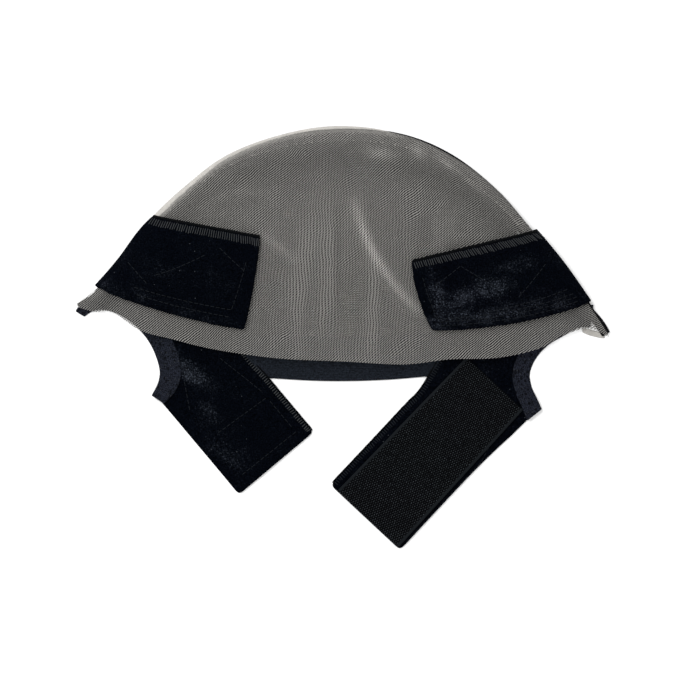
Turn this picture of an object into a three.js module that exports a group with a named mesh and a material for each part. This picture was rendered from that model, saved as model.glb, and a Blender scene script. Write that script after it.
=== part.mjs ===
// A lace wig cap with velvet grips, lying flat as it is stored: x across the cap, y up to the crown, z up
// from the surface that it lies on. The net front panel arches over the back, which lies flat, and both are
// open along the front edge, where the head goes in.
import * as THREE from "three";

// Driving dimensions of the cap, in millimetres
const CAP_WIDTH = 319; // ear tab to ear tab
const CROWN_HEIGHT = 126.3; // from the brow line, where y is nought, to the top of the crown
const LOFT = 24; // height of the front panel over the surface
const CREST_AT = 0.45; // where the panel is highest, as a share of the way from the crown to the front edge

// Walls of the cloths and the tapes
const LACE_WALL = 1;
const VELVET_WALL = 1.8;
const KNIT_WALL = 1.4;
const CLEAR_WALL = 0.8;
const HOOK_WALL = 1.6;
const GAP = 0.3; // between two pieces that are sewn together
const CURVE_GAP = 0.6; // between two pieces that meet along a curve
const NET_GAP = 0.5; // between the arched net and what is sewn on it or under it

// Widths and lengths of the tapes, bands and straps
const CLEAR_TAPE_WIDTH = 8;
const CROWN_BINDING_WIDTH = 7;
const SEAM_ROLL = 5.4; // how far the crown seam has rolled to the back where it shows most
const NAPE_WIDTH = 20;
const LEFT_EAR_BINDING_WIDTH = 13;
const RIGHT_EAR_BINDING_WIDTH = 10.5;
const LEFT_STRAP_LENGTH = 78.5; // from the corner where it leaves the ear curve
const LEFT_STRAP_WIDTH = 58;
const RIGHT_STRAP_LENGTH = 102;
const RIGHT_STRAP_WIDTH = 56.8;
const PATCH_REACH = 100; // how far a temple patch reaches in from its ear tab
const HOOK_TAPE_WIDTH = 50;
const HOOK_TAPE_LENGTH = 111;
const HOOK_TAPE_MARGIN = 1; // from the end of its strap
const FOLD_WIDTH = 7; // half the width of the sharpest fold in the net

const HALF_WIDTH = CAP_WIDTH / 2;
const TAB_REST = KNIT_WALL + GAP + LACE_WALL; // top of the net where it lies on the knit at the ear tabs

// Sections from the left ear tab over the crown to the right one. Each joins a point of the crown's outline
// to a point of the front edge: across as shares of half the width, up as shares of the crown's height, the
// heights of crown fold, crest and front edge as shares of the loft over the tabs, and how far the net and
// the binding stop short of the outline, as shares of the seam's roll.
const SECTIONS = table(["crownX", "crownY", "edgeX", "edgeY", "fold", "crest", "edge", "net", "bind"], [
  [-1.003, 0.166, -0.996, 0.146, 0.01, 0.04, 0.02, 0, 0],
  [-0.92, 0.248, -0.934, 0.125, 0.05, 0.2, 0.03, 0.1, 0.1],
  [-0.833, 0.374, -0.865, 0.122, 0.1, 0.38, 0.05, 0.1, 0.2],
  [-0.738, 0.55, -0.761, 0.036, 0.15, 0.56, 0.12, 1, 0.45],
  [-0.608, 0.711, -0.648, -0.003, 0.18, 0.72, 0.2, 0.85, 0.45],
  [-0.437, 0.872, -0.478, -0.055, 0.21, 0.88, 0.28, 0.55, 0.4],
  [-0.227, 0.966, -0.239, -0.097, 0.22, 0.97, 0.34, 0.25, 0.25],
  [0, 1, 0, -0.111, 0.22, 1, 0.35, 0.1, 0.1],
  [0.226, 0.969, 0.226, -0.125, 0.22, 0.98, 0.34, 0.1, 0.05],
  [0.416, 0.866, 0.403, -0.101, 0.2, 0.9, 0.3, 0.3, 0],
  [0.585, 0.696, 0.579, -0.094, 0.18, 0.76, 0.26, 0.08, 0],
  [0.709, 0.521, 0.736, -0.05, 0.14, 0.58, 0.2, 0.05, 0.1],
  [0.822, 0.35, 0.824, 0.011, 0.09, 0.38, 0.1, 0.1, 0.1],
  [0.916, 0.183, 0.925, 0.045, 0.05, 0.2, 0.04, 0.2, 0],
  [1.003, 0.028, 0.997, 0.006, 0.01, 0.04, 0.02, 0, 0],
]);
const LAST_SECTION = SECTIONS.length - 1;

// Folds in the net. Each runs from its start by its bend to its end, across as shares of half the width and
// up as shares of the crown's height. Its rise is a share of the loft, and its width of the sharpest fold's.
const FOLDS = table(["startX", "startY", "bendX", "bendY", "endX", "endY", "rise", "width"], [
  [0.064, 0.537, 0.14, 0.316, 0.305, 0.086, 0.13, 0.7],
  [0.03, 0.6, -0.01, 0.32, -0.011, 0.024, -0.07, 1.1],
  [0.24, 0.62, 0.2, 0.45, 0.25, 0.29, 0.05, 1.5],
  [0.345, 0.62, 0.34, 0.5, 0.35, 0.4, -0.05, 1],
  [0.42, 0.62, 0.38, 0.52, 0.43, 0.43, 0.05, 1],
  [-0.54, 0.58, -0.42, 0.75, -0.23, 0.65, 0.05, 1.1],
  [-0.31, 0.49, -0.24, 0.44, -0.17, 0.35, 0.04, 1],
  [-0.45, 0.82, -0.1, 0.62, 0.27, 0.82, -0.03, 1.6],
]);

// Temple patches: first and last section on the outline, how far the first corner stops short of it, inner
// corners as shares of the reach and of the crown's height, and how far the lower and the inner edge bow, as
// shares of the reach
const TEMPLE_PATCHES = [
  {
    name: "temple_patch_left",
    side: -1,
    first: 3.1,
    last: 1.05,
    tuck: 0.022,
    topIn: 1.08,
    topY: 0.475,
    lowIn: 1.008,
    lowY: 0.038,
    lowBow: -0.028,
    innerBow: 0.01,
  },
  {
    name: "temple_patch_right",
    side: 1,
    first: 11.1,
    last: 13.1,
    tuck: 0,
    topIn: 1.164,
    topY: 0.361,
    lowIn: 1.032,
    lowY: 0.033,
    lowBow: -0.045,
    innerBow: 0.035,
  },
];

const GRIP_LEAD = 0.15; // share of a grip's length over which its end takes the shape of the crown binding

// The two sides of the back. The ear curve runs from the ear tab down to the corner where the strap begins,
// as shares of half the width and of the crown's height, and the grip's inner edge from the crown down to
// the nape. The strap leaves its root at an angle in degrees, with its edges at the given places across it.
const SIDES = {
  left: {
    side: -1,
    ear: [
      [-0.972, 0.1],
      [-0.93, 0.112],
      [-0.885, 0.13],
      [-0.824, 0.097],
      [-0.766, 0.038],
      [-0.72, -0.043],
      [-0.692, -0.142],
      [-0.695, -0.21],
      [-0.72, -0.273],
    ],
    earWidth: LEFT_EAR_BINDING_WIDTH,
    earTip: 0.62,
    gripFrom: 1,
    gripTo: 3.2,
    grip: [[-0.56, 0.33], [-0.445, 0.12], [-0.368, -0.06]],
    rootX: -0.564,
    rootY: -0.116,
    angle: -50,
    strapLength: LEFT_STRAP_LENGTH,
    strapWidth: LEFT_STRAP_WIDTH,
    outerEdge: 0.515,
    innerEdge: -0.495,
    joinOuter: 0.1,
    joinInner: 0.42,
  },
  right: {
    side: 1,
    ear: [
      [0.93, 0.026],
      [0.885, 0.031],
      [0.828, 0.008],
      [0.772, -0.035],
      [0.728, -0.095],
      [0.704, -0.165],
      [0.71, -0.228],
      [0.726, -0.277],
      [0.745, -0.322],
    ],
    earWidth: RIGHT_EAR_BINDING_WIDTH,
    earTip: 1,
    gripFrom: 13,
    gripTo: 10.9,
    grip: [[0.58, 0.3], [0.46, 0.1], [0.37, -0.075]],
    rootX: 0.528,
    rootY: -0.272,
    angle: -133.1,
    strapLength: RIGHT_STRAP_LENGTH,
    strapWidth: RIGHT_STRAP_WIDTH,
    outerEdge: 0.475,
    innerEdge: -0.535,
    joinOuter: -0.06,
    joinInner: 0.22,
  },
};

// Width of an ear binding on its way from the ear tab, as a share of its full width
const EAR_TAPER = [
  { share: 0.1 },
  { share: 0.32 },
  { share: 0.72 },
  { share: 0.95 },
  { share: 1 },
  { share: 1 },
  { share: 0.97 },
];

// The nape band: where its lower edge meets the two grips, as shares of the crown's height, and its sag
const NAPE = { leftY: -0.181, rightY: -0.173, sag: 0.115 };

const NET_COLOUR = 0x5a5754;
const CLEAR_COLOUR = 0xc9c3bb;
const VELVET_COLOUR = 0x0b0d12;
const KNIT_COLOUR = 0x191d26;
const HOOK_COLOUR = 0x15171c;

// The rows of a table, each with its values under the names of the columns.
function table(columns, rows) {
  return rows.map((row) => Object.fromEntries(columns.map((name, i) => [name, row[i]])));
}

const mix = THREE.MathUtils.lerp;
const steps = (count) => Array.from({ length: count }, (_, i) => i / (count - 1));

// The value of one column between the rows of a table, on a smooth curve through them.
function between(rows, column, share) {
  const place = THREE.MathUtils.clamp(share, 0, 1) * (rows.length - 1);
  const row = Math.min(Math.floor(place), rows.length - 2);
  const first = rows[row][column];
  const second = rows[row + 1][column];
  const before = row > 0 ? rows[row - 1][column] : 2 * first - second;
  const after = row + 2 < rows.length ? rows[row + 2][column] : 2 * second - first;
  const t = place - row;
  const bend = (2 * before - 5 * first + 4 * second - after) * t * t;
  const turn = (3 * first - before - 3 * second + after) * t * t * t;
  return first + 0.5 * ((second - before) * t + bend + turn);
}

function crownPoint(section) {
  const x = between(SECTIONS, "crownX", section) * HALF_WIDTH;
  const y = between(SECTIONS, "crownY", section) * CROWN_HEIGHT;
  return new THREE.Vector2(x, y);
}

function edgePoint(section) {
  const x = between(SECTIONS, "edgeX", section) * HALF_WIDTH;
  const y = between(SECTIONS, "edgeY", section) * CROWN_HEIGHT;
  return new THREE.Vector2(x, y);
}

function sectionHeight(column, section) {
  return TAB_REST + between(SECTIONS, column, section) * (LOFT - TAB_REST);
}

function seamInset(column, section) {
  return Math.max(0, between(SECTIONS, column, section)) * SEAM_ROLL;
}

// The direction in from the crown's outline, level with the surface.
function crownInward(section) {
  const step = 1e-4;
  const before = crownPoint(section - step);
  const along = crownPoint(section + step).sub(before).normalize();
  return new THREE.Vector2(along.y, -along.x);
}

// How much the folds lift the net over a place.
const foldLines = FOLDS.map((fold) => {
  const start = new THREE.Vector2(fold.startX * HALF_WIDTH, fold.startY * CROWN_HEIGHT);
  const bend = new THREE.Vector2(fold.bendX * HALF_WIDTH, fold.bendY * CROWN_HEIGHT);
  const end = new THREE.Vector2(fold.endX * HALF_WIDTH, fold.endY * CROWN_HEIGHT);
  const points = new THREE.QuadraticBezierCurve(start, bend, end).getPoints(20);
  return { points, rise: fold.rise * LOFT, width: fold.width * FOLD_WIDTH };
});

function foldLift(x, y) {
  let lift = 0;
  for (const { points, rise, width } of foldLines) {
    let nearest = Infinity;
    let taper = 0;
    for (let i = 1; i < points.length; i++) {
      const from = points[i - 1];
      const runX = points[i].x - from.x;
      const runY = points[i].y - from.y;
      const share = ((x - from.x) * runX + (y - from.y) * runY) / (runX * runX + runY * runY);
      const held = THREE.MathUtils.clamp(share, 0, 1);
      const distance = Math.hypot(x - from.x - held * runX, y - from.y - held * runY);
      if (distance < nearest) {
        nearest = distance;
        taper = Math.sin((Math.PI * (i - 1 + held)) / (points.length - 1));
      }
    }
    lift += rise * Math.sqrt(Math.max(taper, 0)) * Math.exp(-((nearest / width) ** 2));
  }
  return lift;
}

// The outer face of the front panel: from the crown fold, where it stands upright, over the crest and down to
// the front edge.
function panelPoint(section, way) {
  const top = crownPoint(section);
  const low = edgePoint(section);
  const x = mix(top.x, low.x, way);
  const y = mix(top.y, low.y, way);
  const crest = sectionHeight("crest", section);
  let height;
  if (way < CREST_AT) {
    const fold = sectionHeight("fold", section);
    height = mix(fold, crest, Math.sqrt(1 - (1 - way / CREST_AT) ** 2));
  } else {
    const edge = sectionHeight("edge", section);
    const fall = (way - CREST_AT) / (1 - CREST_AT);
    height = mix(edge, crest, 0.5 * (1 + Math.cos(Math.PI * fall)));
  }
  return new THREE.Vector3(x, y, height + foldLift(x, y));
}

function panelPlace(section, way) {
  const step = 1e-5;
  const held = THREE.MathUtils.clamp(way, 0, 1);
  const point = panelPoint(section, held);
  const back = section > 0.5 ? -step : step;
  const across = panelPoint(section + back, held).sub(point).divideScalar(back);
  const up = held > 0.5 ? -step : step;
  const down = panelPoint(section, held + up).sub(point).divideScalar(up);
  return { point, normal: down.cross(across).normalize() };
}

function sectionLength(section) {
  return crownPoint(section).distanceTo(edgePoint(section));
}

// The section and the way along it of a place on the front panel, given by its x and y.
function panelAt(x, y) {
  let low = 0;
  let high = 1;
  for (let i = 0; i < 40; i++) {
    const section = (low + high) / 2;
    const top = crownPoint(section);
    const run = edgePoint(section).sub(top);
    const turned = run.x * (y - top.y) - run.y * (x - top.x);
    if (turned > 0) low = section;
    else high = section;
  }
  const section = (low + high) / 2;
  const top = crownPoint(section);
  const run = edgePoint(section).sub(top);
  const way = ((x - top.x) * run.x + (y - top.y) * run.y) / run.lengthSq();
  return panelPlace(section, way);
}

// A wall of cloth: a grid of places, each with a normal, whose two faces lie at two distances along the
// normals, closed by its rims.
function clothWall(name, material, columns, rows, place, near, far) {
  const positions = [];
  const index = [];
  const count = (columns + 1) * (rows + 1);
  for (const distance of [far, near]) {
    for (let row = 0; row <= rows; row++) {
      for (let column = 0; column <= columns; column++) {
        const { point, normal } = place(column / columns, row / rows);
        positions.push(...point.clone().addScaledVector(normal, distance));
      }
    }
  }
  const quad = (a, b, c, d) => index.push(a, b, c, a, c, d);
  const at = (column, row, face) => face * count + row * (columns + 1) + column;
  for (let row = 0; row < rows; row++) {
    for (let column = 0; column < columns; column++) {
      quad(at(column, row, 0), at(column, row + 1, 0), at(column + 1, row + 1, 0), at(column + 1, row, 0));
      quad(at(column, row, 1), at(column + 1, row, 1), at(column + 1, row + 1, 1), at(column, row + 1, 1));
    }
  }
  for (let column = 0; column < columns; column++) {
    quad(at(column, 0, 0), at(column + 1, 0, 0), at(column + 1, 0, 1), at(column, 0, 1));
    quad(at(column + 1, rows, 0), at(column, rows, 0), at(column, rows, 1), at(column + 1, rows, 1));
  }
  for (let row = 0; row < rows; row++) {
    quad(at(0, row + 1, 0), at(0, row, 0), at(0, row, 1), at(0, row + 1, 1));
    quad(at(columns, row, 0), at(columns, row + 1, 0), at(columns, row + 1, 1), at(columns, row, 1));
  }
  const geometry = new THREE.BufferGeometry();
  geometry.setAttribute("position", new THREE.Float32BufferAttribute(positions, 3));
  geometry.setIndex(facingOut(positions, index));
  geometry.computeVertexNormals();
  const mesh = new THREE.Mesh(geometry, material);
  mesh.name = name;
  return mesh;
}

// The triangles with their faces pointing out, turned round where the grid runs the other way.
function facingOut(positions, index) {
  const corner = (i) => new THREE.Vector3().fromArray(positions, 3 * index[i]);
  let volume = 0;
  for (let i = 0; i < index.length; i += 3) {
    volume += corner(i).dot(corner(i + 1).cross(corner(i + 2)));
  }
  return volume > 0 ? index : index.slice().reverse();
}

// A wall that lies flat on the surface, or on what is under it, between two edges in plan.
function flatWall(name, material, columns, rows, plan, bottom, wall) {
  const up = new THREE.Vector3(0, 0, 1);
  const place = (u, v) => {
    const spot = plan(u, v);
    return { point: new THREE.Vector3(spot.x, spot.y, 0), normal: up };
  };
  return clothWall(name, material, columns, rows, place, bottom, bottom + wall);
}

function finish(colour, roughness, more) {
  return new THREE.MeshStandardMaterial({ color: colour, roughness, metalness: 0, ...more });
}

const net = finish(NET_COLOUR, 0.85, { side: THREE.DoubleSide });
const clear = finish(CLEAR_COLOUR, 0.35, { transparent: true, opacity: 0.7 });
const velvet = finish(VELVET_COLOUR, 0.95);
const knit = finish(KNIT_COLOUR, 0.8);
const hooks = finish(HOOK_COLOUR, 0.7);

// The net front panel, which starts at the seam and ends in its raw front edge.
function frontLace() {
  const place = (u, v) => {
    const start = seamInset("net", u) / sectionLength(u);
    return panelPlace(u, mix(start, 1, v ** 1.6));
  };
  return clothWall("front_lace", net, 56, 20, place, -LACE_WALL, 0);
}

// The clear tape under the net, along the crown seam between the two temple patches.
function clearTape() {
  const first = TEMPLE_PATCHES[0].first - 0.35;
  const last = TEMPLE_PATCHES[1].first + 0.3;
  const under = -LACE_WALL - NET_GAP;
  const place = (u, v) => {
    const section = mix(first, last, u) / LAST_SECTION;
    return panelPlace(section, (CLEAR_TAPE_WIDTH * v ** 2) / sectionLength(section));
  };
  return clothWall("clear_tape", clear, 44, 3, place, under - CLEAR_WALL, under);
}

// The binding of the back's crown edge: it lies on the surface at its inner edge and stands up at the
// outline, just under the fold of the front panel.
function crownBinding() {
  const place = (u, v) => {
    const turn = (v * Math.PI) / 2;
    const inward = crownInward(u);
    const fold = sectionHeight("fold", u);
    const rise = sectionHeight("crest", u) - fold;
    const top = fold - GAP - LACE_WALL * Math.exp(-rise / (2 * LACE_WALL));
    const inset = seamInset("bind", u) + CROWN_BINDING_WIDTH * (1 - Math.cos(turn));
    const spot = crownPoint(u).addScaledVector(inward, inset);
    const level = new THREE.Vector2(top * Math.cos(turn), CROWN_BINDING_WIDTH * Math.sin(turn)).normalize();
    const normal = new THREE.Vector3(inward.x * level.x, inward.y * level.x, level.y);
    return { point: new THREE.Vector3(spot.x, spot.y, top * (1 - Math.sin(turn))), normal };
  };
  return clothWall("crown_binding", knit, 56, 4, place, 0, KNIT_WALL);
}

// The line just inside the crown binding, where the rest of the back starts.
function insideBinding(section) {
  const inset = seamInset("bind", section) + CROWN_BINDING_WIDTH + GAP;
  return crownPoint(section).addScaledVector(crownInward(section), inset);
}

// A velvet patch on the outside of the net, from the outline in to its inner edge.
function templePatch(patch) {
  const reach = (share) => patch.side * (HALF_WIDTH - share * PATCH_REACH);
  const topInner = new THREE.Vector2(reach(patch.topIn), patch.topY * CROWN_HEIGHT);
  const lowInner = new THREE.Vector2(reach(patch.lowIn), patch.lowY * CROWN_HEIGHT);
  const place = (u, v) => {
    const section = mix(patch.first, patch.last, v) / LAST_SECTION;
    const tuck = patch.tuck * PATCH_REACH * (1 - v) ** 3;
    const outer = crownPoint(section).addScaledVector(crownInward(section), tuck);
    const inner = topInner.clone().lerp(lowInner, v);
    inner.x -= patch.side * patch.innerBow * PATCH_REACH * 4 * v * (1 - v);
    const share = u ** 1.8;
    const bow = patch.lowBow * v * PATCH_REACH * 4 * share * (1 - share);
    const spot = outer.lerp(inner, share);
    return panelAt(spot.x, spot.y + bow);
  };
  return clothWall(patch.name, velvet, 14, 7, place, NET_GAP, NET_GAP + VELVET_WALL);
}

// Everything that the back of one side is laid out from.
function sideLayout(values) {
  const { side } = values;
  const scaled = ([x, y]) => new THREE.Vector2(x * HALF_WIDTH, y * CROWN_HEIGHT);
  const ear = new THREE.SplineCurve(values.ear.map(scaled));
  const inward = (curve, share) => {
    const along = curve.getTangentAt(share);
    return new THREE.Vector2(along.y * side, -along.x * side);
  };
  const beside = (curve, share, distance) =>
    curve.getPointAt(share).addScaledVector(inward(curve, share), distance);
  const taper = [...EAR_TAPER, { share: values.earTip }];
  const earInner = (share, gap) => beside(ear, share, between(taper, "share", share) * values.earWidth + gap);
  const turn = THREE.MathUtils.degToRad(values.angle);
  const down = new THREE.Vector2(Math.cos(turn), Math.sin(turn));
  const out = new THREE.Vector2(-down.y * side, down.x * side);
  const root = scaled([values.rootX, values.rootY]);
  const strapPoint = (along, across) => {
    return root.clone().addScaledVector(down, along).addScaledVector(out, across);
  };
  const strapEdge = (edge, join) => {
    const across = edge * values.strapWidth;
    const side = steps(6).map((share) => strapPoint(mix(join, 0.985, share) * values.strapLength, across));
    return [...side, strapPoint(values.strapLength, 0.97 * across)];
  };
  const besideEar = steps(16).map((share) => earInner(mix(0.28, 1, share), CURVE_GAP));
  const outer = new THREE.CurvePath();
  outer.add(new THREE.LineCurve(insideBinding(values.gripFrom / LAST_SECTION), besideEar[0]));
  outer.add(new THREE.SplineCurve(besideEar));
  outer.add(new THREE.SplineCurve([besideEar.at(-1), ...strapEdge(values.outerEdge, values.joinOuter)]));
  const inner = new THREE.SplineCurve([
    insideBinding(values.gripTo / LAST_SECTION),
    ...values.grip.map(scaled),
    ...strapEdge(values.innerEdge, values.joinInner),
  ]);
  return { values, ear, earInner, strapPoint, outer, inner, beside };
}

const left = sideLayout(SIDES.left);
const right = sideLayout(SIDES.right);

// The velvet band: from the crown binding round the ear and on as the strap.
function velvetBand(name, layout) {
  const { gripFrom, gripTo } = layout.values;
  const across = (u, v) => layout.outer.getPointAt(v).lerp(layout.inner.getPointAt(v), u);
  const plan = (u, v) => {
    const start = insideBinding(mix(gripFrom, gripTo, u) / LAST_SECTION);
    const hold = Math.max(0, 1 - v / GRIP_LEAD);
    return across(u, v).addScaledVector(start.sub(across(u, 0)), hold);
  };
  return flatWall(name, velvet, 3, 46, plan, 0, VELVET_WALL);
}

function earBinding(name, layout) {
  const plan = (u, v) => layout.ear.getPointAt(v).lerp(layout.earInner(v, 0), u);
  return flatWall(name, knit, 1, 22, plan, 0, KNIT_WALL);
}

// The share along a grip's inner edge at which the piece beside it has the given y.
function shareAtHeight(layout, y) {
  let low = 0;
  let high = 1;
  for (let i = 0; i < 40; i++) {
    const share = (low + high) / 2;
    if (layout.beside(layout.inner, share, GAP).y > y) low = share;
    else high = share;
  }
  return (low + high) / 2;
}

// A line across the back between the two grips, a given distance above the nape band's lower edge.
function napeLine(share, above) {
  const leftY = NAPE.leftY * CROWN_HEIGHT + above;
  const rightY = NAPE.rightY * CROWN_HEIGHT + above;
  const start = left.beside(left.inner, shareAtHeight(left, leftY), GAP);
  const end = right.beside(right.inner, shareAtHeight(right, rightY), GAP);
  const spot = start.lerp(end, share);
  spot.y -= NAPE.sag * NAPE_WIDTH * 4 * share * (1 - share);
  return spot;
}

function napeBand() {
  const plan = (u, v) => napeLine(u, mix(NAPE_WIDTH, 0, v));
  return flatWall("nape_band", knit, 16, 1, plan, 0, KNIT_WALL);
}

// The net back panel, between the crown binding, the two grips and the nape band.
function backLace() {
  const above = NAPE_WIDTH + GAP;
  const leftEnd = shareAtHeight(left, NAPE.leftY * CROWN_HEIGHT + above);
  const rightEnd = shareAtHeight(right, NAPE.rightY * CROWN_HEIGHT + above);
  const crownStart = (SIDES.left.gripTo + 0.15) / LAST_SECTION;
  const crownEnd = (SIDES.right.gripTo - 0.15) / LAST_SECTION;
  const corner = 0.3;
  const start = 0.03;
  const lower = (u) => {
    if (u < corner) return left.beside(left.inner, mix(start, leftEnd, u / corner), GAP);
    if (u > 1 - corner) return right.beside(right.inner, mix(start, rightEnd, (1 - u) / corner), GAP);
    return napeLine((u - corner) / (1 - 2 * corner), above);
  };
  const plan = (u, v) => insideBinding(mix(crownStart, crownEnd, u)).lerp(lower(u), v);
  return flatWall("back_lace", net, 40, 2, plan, 0, LACE_WALL);
}

// The hook tape on top of the right strap, flush with its end but for a small margin.
function hookTape() {
  const { strapLength } = SIDES.right;
  const end = strapLength - HOOK_TAPE_MARGIN;
  const plan = (u, v) => {
    const width = HOOK_TAPE_WIDTH * mix(0.93, 1, v);
    return right.strapPoint(end - HOOK_TAPE_LENGTH * (1 - v), (u - 0.5) * width);
  };
  return flatWall("hook_tape", hooks, 1, 6, plan, VELVET_WALL + GAP, HOOK_WALL);
}

const cap = new THREE.Group();
cap.add(
  frontLace(),
  clearTape(),
  crownBinding(),
  backLace(),
  ...TEMPLE_PATCHES.map(templePatch),
  velvetBand("velvet_band_left", left),
  velvetBand("velvet_band_right", right),
  earBinding("ear_binding_left", left),
  earBinding("ear_binding_right", right),
  napeBand(),
  hookTape(),
);

// The origin is on the surface, under the middle of the cap.
const bounds = new THREE.Box3().setFromObject(cap);
const middle = bounds.getCenter(new THREE.Vector3());
cap.position.set(-middle.x, -middle.y, -bounds.min.z);

export default cap;
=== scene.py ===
import math
import random

import bmesh
import bpy
from mathutils import Matrix
from mathutils import Vector
from mathutils import noise


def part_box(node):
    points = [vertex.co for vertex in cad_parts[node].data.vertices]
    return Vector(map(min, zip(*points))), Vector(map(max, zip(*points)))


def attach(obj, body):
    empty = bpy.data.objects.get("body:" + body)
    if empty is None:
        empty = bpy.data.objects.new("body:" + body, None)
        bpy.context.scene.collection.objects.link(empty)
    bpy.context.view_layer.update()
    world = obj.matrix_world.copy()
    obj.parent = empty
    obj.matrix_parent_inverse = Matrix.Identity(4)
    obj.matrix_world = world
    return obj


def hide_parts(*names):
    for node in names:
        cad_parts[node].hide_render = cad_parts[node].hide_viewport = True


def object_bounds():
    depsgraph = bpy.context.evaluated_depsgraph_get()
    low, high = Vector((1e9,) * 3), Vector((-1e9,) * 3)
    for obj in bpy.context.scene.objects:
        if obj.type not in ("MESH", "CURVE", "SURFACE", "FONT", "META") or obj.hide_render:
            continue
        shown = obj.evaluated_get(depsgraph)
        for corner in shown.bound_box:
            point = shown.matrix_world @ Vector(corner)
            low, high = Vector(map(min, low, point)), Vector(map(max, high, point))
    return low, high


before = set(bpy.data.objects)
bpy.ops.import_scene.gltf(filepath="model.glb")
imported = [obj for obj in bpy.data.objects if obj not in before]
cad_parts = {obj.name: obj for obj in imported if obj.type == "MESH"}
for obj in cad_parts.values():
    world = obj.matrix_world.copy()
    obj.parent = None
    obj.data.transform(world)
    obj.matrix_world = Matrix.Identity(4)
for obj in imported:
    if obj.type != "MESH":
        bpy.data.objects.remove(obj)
solid_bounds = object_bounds()

# Table, light and camera
# The cap lies on a white table under a large soft lamp, and the room around it is as white as the table. The
# camera looks straight down from above it, with the crown at the top of the picture.
MM = 0.001
TABLE_WIDTH = 4
PICTURE_WIDTH = 0.42
PICTURE_MIDDLE = (0.0042, -0.0076)
LENS = 180
ROOM_LIGHT = 1.05
LAMP_POWER = 34
LAMP_WIDTH = 1.4
LAMP_PLACE = (-0.9, 0.9, 1.6)


def make_table():
    mesh = bmesh.new()
    bmesh.ops.create_grid(mesh, x_segments=1, y_segments=1, size=TABLE_WIDTH / 2)
    data = bpy.data.meshes.new("table")
    mesh.to_mesh(data)
    mesh.free()
    paint = bpy.data.materials.new("white table")
    paint.use_nodes = True
    shader = paint.node_tree.nodes["Principled BSDF"]
    shader.inputs["Base Color"].default_value = (0.9, 0.9, 0.9, 1)
    shader.inputs["Roughness"].default_value = 0.8
    data.materials.append(paint)
    made = bpy.data.objects.new("table", data)
    bpy.context.scene.collection.objects.link(made)
    return made


def light_room():
    room = bpy.data.worlds.new("white room")
    room.use_nodes = True
    room.node_tree.nodes["Background"].inputs["Color"].default_value = (1, 1, 1, 1)
    room.node_tree.nodes["Background"].inputs["Strength"].default_value = ROOM_LIGHT
    bpy.context.scene.world = room
    bpy.context.scene.view_settings.view_transform = "Standard"
    light = bpy.data.lights.new("soft lamp", "AREA")
    light.shape = "DISK"
    light.size = LAMP_WIDTH
    light.energy = LAMP_POWER
    lamp = bpy.data.objects.new("soft lamp", light)
    lamp.location = LAMP_PLACE
    lamp.rotation_euler = (-Vector(LAMP_PLACE)).to_track_quat("-Z", "Y").to_euler()
    bpy.context.scene.collection.objects.link(lamp)


def place_camera():
    lens = bpy.data.cameras.new("camera")
    lens.lens = LENS
    camera = bpy.data.objects.new("camera", lens)
    camera.location = (*PICTURE_MIDDLE, PICTURE_WIDTH * LENS / lens.sensor_width)
    bpy.context.scene.collection.objects.link(camera)
    bpy.context.scene.camera = camera


table = make_table()
light_room()
place_camera()

# Velvet bands and straps
# Each side of the back has a band of black stretch velvet, which runs from the crown round behind the ear
# and goes on as the adjustable strap. Two layers are sewn back to back, turned at the outer edge and
# overlocked along the inner one, and rows of top stitching hold them flat.
TAB_OVERHANG = 1.003
HALF_WIDTH = solid_bounds[1][0] / MM / TAB_OVERHANG
CROWN_HEIGHT = 126.3
BROW_Y = -0.43
VELVET_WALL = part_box("velvet_band_left")[1][2] / MM
UNDER_TAPE = 1.6
TUCKED_IN = 1.5
CROWN_BINDING_WIDTH = 7
SEAM_ROLL = 5.4
GRIP_LEAD = 0.15
PILE_DARK = (0.0007, 0.0011, 0.0022, 1)
# Painted sheen: the pale blue grey that brushed pile shows where it catches the light, put into the colour
PILE_PAINTED_SHEEN = (0.0210, 0.0245, 0.0320, 1)
LINT = (0.0300, 0.0330, 0.0380, 1)
SEWING_THREAD = (0.0310, 0.0330, 0.0345, 1)
TOP_STITCH = (0.0085, 0.0100, 0.0125, 1)
EDGE_THREAD = (0.0009, 0.0012, 0.0016, 1)
STRAP_RIB = 2.8
STRAP_RIB_PITCH = 1.55
STRAP_ROLL = 1.1
STITCH_LENGTH = 2.5
STITCH_GAP = 0.9
STITCH_THREAD = 0.42
ON_PILE = 0.35

# The crown's outline from the left ear tab to the right one: x as a share of half the width, y as a share of
# the crown's height, and how far the binding's edge has rolled in, as a share of the seam's roll
CROWN = [
    (-1.003, 0.166, 0),
    (-0.92, 0.248, 0.1),
    (-0.833, 0.374, 0.2),
    (-0.738, 0.55, 0.45),
    (-0.608, 0.711, 0.45),
    (-0.437, 0.872, 0.4),
    (-0.227, 0.966, 0.25),
    (0, 1, 0.1),
    (0.226, 0.969, 0.05),
    (0.416, 0.866, 0),
    (0.585, 0.696, 0),
    (0.709, 0.521, 0.1),
    (0.822, 0.35, 0.1),
    (0.916, 0.183, 0),
    (1.003, 0.028, 0),
]
LAST = len(CROWN) - 1

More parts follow.
